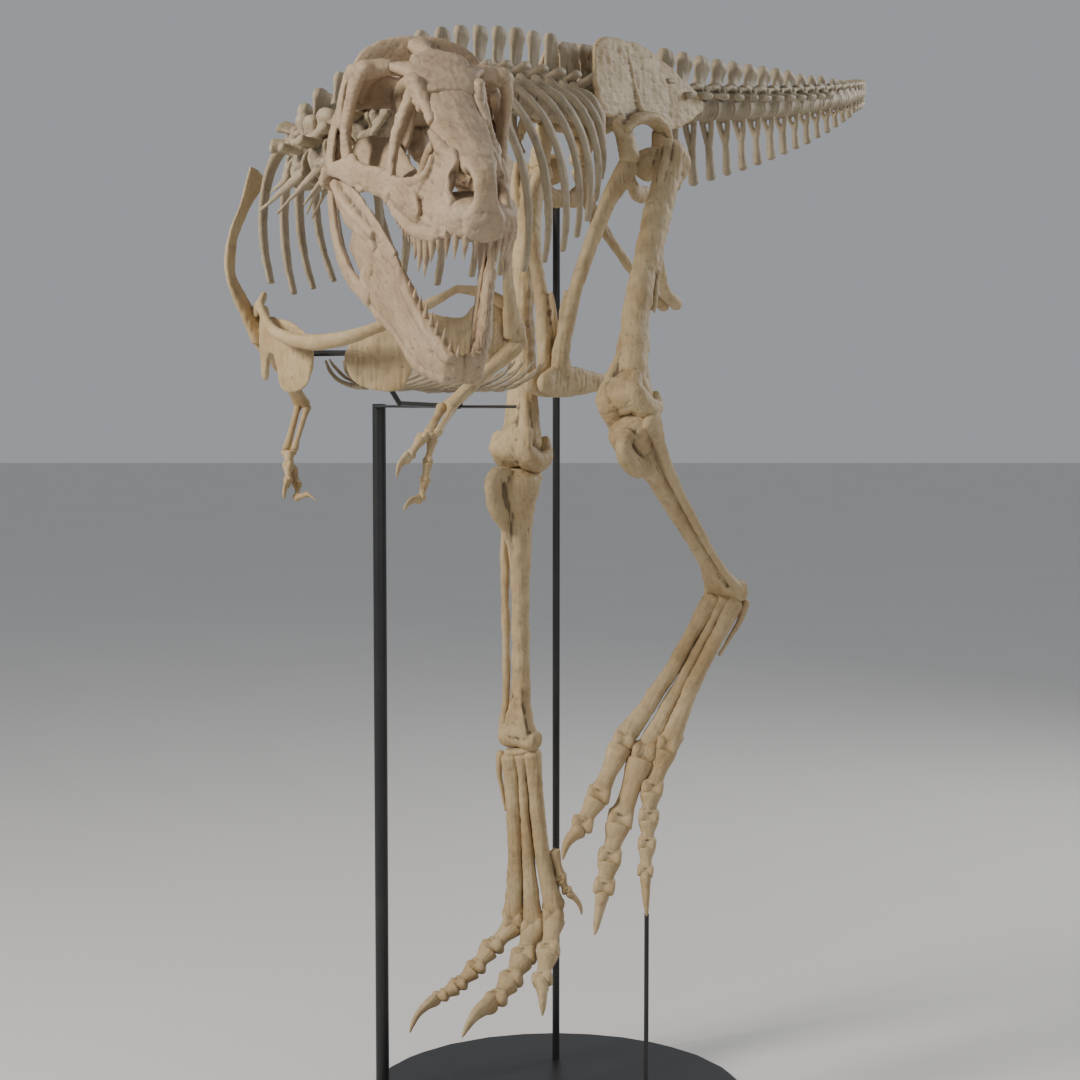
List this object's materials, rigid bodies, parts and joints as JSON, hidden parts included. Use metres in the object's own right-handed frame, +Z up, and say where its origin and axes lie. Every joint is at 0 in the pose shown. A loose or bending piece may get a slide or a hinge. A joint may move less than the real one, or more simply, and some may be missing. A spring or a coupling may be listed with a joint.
{
  "type": "mounted dinosaur skeleton",
  "caption": "Life-size tyrannosaur skeleton in a running pose with open jaws, carried above a round floor plate by slim black rods.",
  "frame": {"origin": "centre of the round floor plate's underside", "axes": "+Z up, -Y the way the trunk faces, +X the animal's left"},
  "size_m": [1.5244, 5.3636, 3.1535],
  "materials": {
    "skull_bone": "cast bone, tan to pinkish brown, dull with fine cracks",
    "limb_bone": "cast bone, golden tan, dull with darker stains",
    "trunk_bone": "cast bone, grey brown, dull",
    "stand_black": "black satin paint"
  },
  "bodies": {
    "root": {"femur_left": "limb_bone", "femur_right": "limb_bone", "forearm_left": "limb_bone", "forearm_right": "limb_bone", "furcula": "limb_bone", "gastralia": "trunk_bone", "hand_left": "limb_bone", "hand_right": "limb_bone", "humerus_left": "limb_bone", "humerus_right": "limb_bone", "ilium_left": "limb_bone", "ilium_right": "limb_bone", "ischium_left": "limb_bone", "ischium_right": "limb_bone", "jaw": "skull_bone", "metatarsus_left": "limb_bone", "metatarsus_right": "limb_bone", "neck": "trunk_bone", "pubis_left": "limb_bone", "pubis_right": "limb_bone", "sacrum": "trunk_bone", "scapula_left": "limb_bone", "scapula_right": "limb_bone", "shin_left": "limb_bone", "shin_right": "limb_bone", "skull": "skull_bone", "stand_base": "stand_black", "stand_cradle": "stand_black", "stand_post": "stand_black", "stand_rod_foot": "stand_black", "stand_rod_hip": "stand_black", "stand_yoke": "stand_black", "tail_base": "trunk_bone", "tail_middle": "trunk_bone", "tail_tip": "trunk_bone", "toe_i_left": "limb_bone", "toe_i_right": "limb_bone", "toe_ii_left": "limb_bone", "toe_ii_right": "limb_bone", "toe_iii_left": "limb_bone", "toe_iii_right": "limb_bone", "toe_iv_left": "limb_bone", "toe_iv_right": "limb_bone", "torso_left": "trunk_bone", "torso_right": "trunk_bone"}
  },
  "joints": []
}
